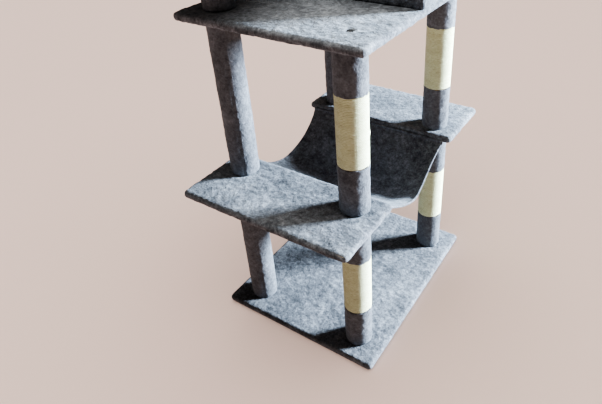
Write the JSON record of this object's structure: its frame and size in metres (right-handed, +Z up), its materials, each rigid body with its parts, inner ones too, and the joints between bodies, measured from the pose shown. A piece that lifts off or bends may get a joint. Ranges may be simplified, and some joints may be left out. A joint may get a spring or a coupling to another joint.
{
  "type": "cat tree",
  "caption": "Plush-covered cat tree: board decks on round posts, some wrapped in sisal, with a slung hammock, a house with a round door and a small perch.",
  "frame": {"origin": "middle of the underside of the base, on the floor", "axes": "+Z up, +X to the right along the front edge, -Y the front"},
  "size_m": [0.664, 0.93, 1.426],
  "materials": {
    "plush": "short mottled grey pile",
    "sisal": "natural sisal rope, wound tight",
    "board": "raw particle board",
    "cardboard": "wound cardboard tube",
    "backing": "thin felt",
    "steel": "zinc plated"
  },
  "bodies": {
    "root": {"back_shelf_board": "board", "back_shelf_cover": "plush", "base_backing": "backing", "base_board": "board", "base_bolt_back_left": "steel", "base_bolt_back_right": "steel", "base_bolt_front_left": "steel", "base_bolt_front_right": "steel", "base_cover": "plush", "front_shelf_board": "board", "front_shelf_cover": "plush", "hammock": "plush", "house_back_wall": "board", "house_front_wall": "board", "house_left_wall": "board", "house_right_wall": "board", "house_roof_board": "board", "house_roof_cover": "plush", "house_wall_cover": "plush", "lower_back_left_core": "cardboard", "lower_back_left_plush": "plush", "lower_back_right_core": "cardboard", "lower_back_right_foot_plush": "plush", "lower_back_right_head_plush": "plush", "lower_back_right_sisal": "sisal", "lower_front_left_core": "cardboard", "lower_front_left_plush": "plush", "lower_front_right_core": "cardboard", "lower_front_right_foot_plush": "plush", "lower_front_right_head_plush": "plush", "lower_front_right_sisal": "sisal", "perch_board": "board", "perch_bolt": "steel", "perch_cover": "plush", "platform_board": "board", "platform_bolt_back_left": "steel", "platform_bolt_back_right": "steel", "platform_bolt_front_right": "steel", "platform_cover": "plush", "platform_stud_front_left": "steel", "shelf_stud_back_left": "steel", "shelf_stud_back_right": "steel", "shelf_stud_front_left": "steel", "shelf_stud_front_right": "steel", "top_front_left_core": "cardboard", "top_front_left_plush": "plush", "upper_back_left_core": "cardboard", "upper_back_left_plush": "plush", "upper_back_right_core": "cardboard", "upper_back_right_foot_plush": "plush", "upper_back_right_head_plush": "plush", "upper_back_right_sisal": "sisal", "upper_front_left_core": "cardboard", "upper_front_left_plush": "plush", "upper_front_right_core": "cardboard", "upper_front_right_foot_plush": "plush", "upper_front_right_head_plush": "plush", "upper_front_right_sisal": "sisal"}
  },
  "joints": []
}
